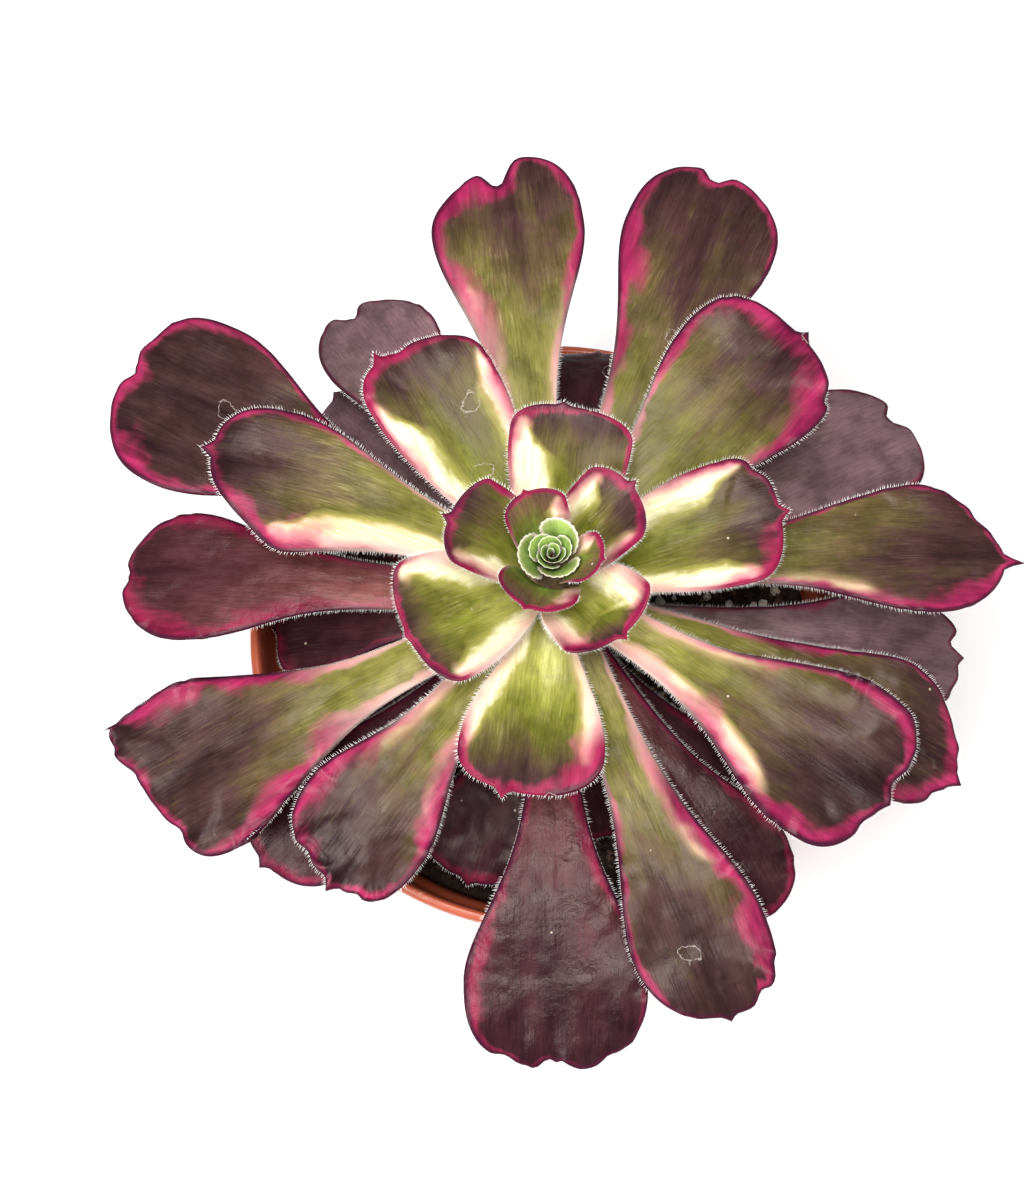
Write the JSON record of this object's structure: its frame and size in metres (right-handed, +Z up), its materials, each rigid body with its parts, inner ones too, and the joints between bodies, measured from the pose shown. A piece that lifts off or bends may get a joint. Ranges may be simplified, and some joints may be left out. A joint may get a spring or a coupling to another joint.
{
  "type": "potted aeonium",
  "caption": "Rosette of succulent aeonium leaves with green centres and crimson to near-black margins, on a short stem in a terracotta-coloured plastic nursery pot of gritty mix.",
  "frame": {"origin": "centre of the pot's flat base, on the surface it stands on", "axes": "+Z up along the pot's axis; -Y towards the front of the plant and +X to its right"},
  "size_m": [0.1443, 0.1475, 0.1365],
  "materials": {
    "pot_plastic": "satin moulded plastic, terracotta colour",
    "potting_mix": "loose dark peat and bark mix",
    "pumice": "rough whitish pumice",
    "stem_bark": "brown stem with leaf scars",
    "bud": "fresh waxy green leaf skin",
    "leaf_heart": "waxy leaf skin, green with pink margins",
    "leaf_inner": "waxy leaf skin, green and cream with pink and dark margins",
    "leaf_middle": "waxy leaf skin, olive and brown-purple with crimson margins",
    "leaf_outer": "waxy leaf skin, dark maroon with magenta margins",
    "leaf_old": "soft waxy leaf skin, dark red and mauve"
  },
  "bodies": {
    "root": {"pot": "pot_plastic", "soil": "potting_mix", "pumice_1": "pumice", "pumice_2": "pumice", "pumice_3": "pumice", "pumice_4": "pumice", "pumice_5": "pumice", "pumice_6": "pumice", "stem": "stem_bark", "heart_bud": "bud", "leaf_03": "leaf_heart", "leaf_04": "leaf_heart", "leaf_05": "leaf_heart", "leaf_06": "leaf_heart", "leaf_07": "leaf_heart", "leaf_08": "leaf_heart", "leaf_09": "leaf_inner", "leaf_10": "leaf_inner", "leaf_11": "leaf_inner", "leaf_12": "leaf_inner", "leaf_13": "leaf_inner", "leaf_14": "leaf_inner", "leaf_15": "leaf_inner", "leaf_16": "leaf_inner", "leaf_17": "leaf_middle", "leaf_18": "leaf_middle", "leaf_19": "leaf_middle", "leaf_20": "leaf_middle", "leaf_21": "leaf_middle", "leaf_22": "leaf_middle", "leaf_23": "leaf_middle", "leaf_24": "leaf_middle", "leaf_25": "leaf_middle", "leaf_26": "leaf_middle", "leaf_27": "leaf_middle", "leaf_28": "leaf_outer", "leaf_29": "leaf_outer", "leaf_30": "leaf_outer", "leaf_31": "leaf_outer", "leaf_32": "leaf_outer", "leaf_33": "leaf_outer", "leaf_34": "leaf_outer", "leaf_35": "leaf_outer", "leaf_36": "leaf_outer", "leaf_37": "leaf_old", "leaf_38": "leaf_old", "leaf_39": "leaf_old", "leaf_40": "leaf_old", "leaf_41": "leaf_old", "leaf_42": "leaf_old", "leaf_43": "leaf_old", "leaf_44": "leaf_old", "leaf_45": "leaf_old", "leaf_46": "leaf_old", "leaf_47": "leaf_old", "leaf_48": "leaf_old", "leaf_49": "leaf_old", "leaf_50": "leaf_old"}
  },
  "joints": []
}
